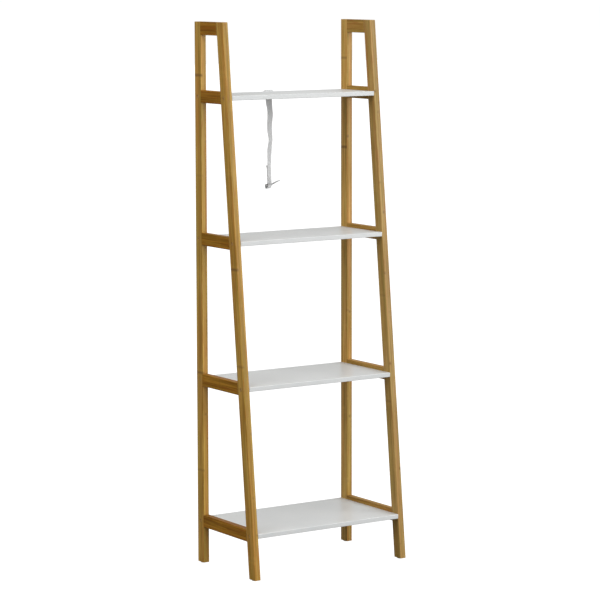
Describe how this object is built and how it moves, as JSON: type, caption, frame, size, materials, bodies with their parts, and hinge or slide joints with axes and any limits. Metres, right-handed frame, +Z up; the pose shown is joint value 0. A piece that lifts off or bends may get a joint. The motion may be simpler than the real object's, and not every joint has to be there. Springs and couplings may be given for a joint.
{
  "type": "ladder shelf",
  "caption": "Free-standing leaning-front ladder shelf: wooden side frames, white panels that get deeper towards the floor, and a wall strap behind the top panel.",
  "frame": {"origin": "on the floor, under the middle of the side frames' outer box (the strap and its clamp aren't counted)", "axes": "+Z up, +X to the right seen from the front, +Y to the back, towards the wall"},
  "size_m": [0.485, 0.2987, 1.45],
  "materials": {
    "bamboo": "satin lacquered bamboo, grain along the leg",
    "bamboo_rail": "satin lacquered bamboo, darker, grain along the rail",
    "white_panel": "satin white lacquer on fibreboard",
    "beech_dowel": "plain beech",
    "bronzed_steel": "bronzed, dull",
    "zinc_steel": "bright zinc plated",
    "nylon_glide": "moulded nylon",
    "white_clamp": "moulded white nylon",
    "webbing": "plain woven white polyester webbing",
    "white_tab": "moulded white nylon"
  },
  "bodies": {
    "shelf_unit": {"left_rear_leg": "bamboo", "left_front_leg": "bamboo", "left_top_rail": "bamboo_rail", "left_rail_1": "bamboo_rail", "left_rail_2": "bamboo_rail", "left_rail_3": "bamboo_rail", "left_rail_4": "bamboo_rail", "left_rail_dowels": "beech_dowel", "left_shelf_dowels": "beech_dowel", "left_shelf_bolts": "bronzed_steel", "left_barrel_nuts": "zinc_steel", "right_rear_leg": "bamboo", "right_front_leg": "bamboo", "right_top_rail": "bamboo_rail", "right_rail_1": "bamboo_rail", "right_rail_2": "bamboo_rail", "right_rail_3": "bamboo_rail", "right_rail_4": "bamboo_rail", "right_rail_dowels": "beech_dowel", "right_shelf_dowels": "beech_dowel", "right_shelf_bolts": "bronzed_steel", "right_barrel_nuts": "zinc_steel", "shelf_1": "white_panel", "shelf_2": "white_panel", "shelf_3": "white_panel", "shelf_4": "white_panel", "foot_glides": "nylon_glide", "strap_clamp": "white_clamp", "strap_screws": "zinc_steel", "strap_clamped_end": "webbing"},
    "anti_tip_strap": {"strap_webbing": "webbing", "strap_end_loop": "webbing", "wall_tab": "white_tab"}
  },
  "joints": [
    {"name": "strap_swing", "type": "hinge", "parent": "shelf_unit", "child": "anti_tip_strap", "pos_m": [-0.01, 0.1443, 1.2415], "axis": [1, 0, 0], "range_deg": [0, 90]}
  ]
}
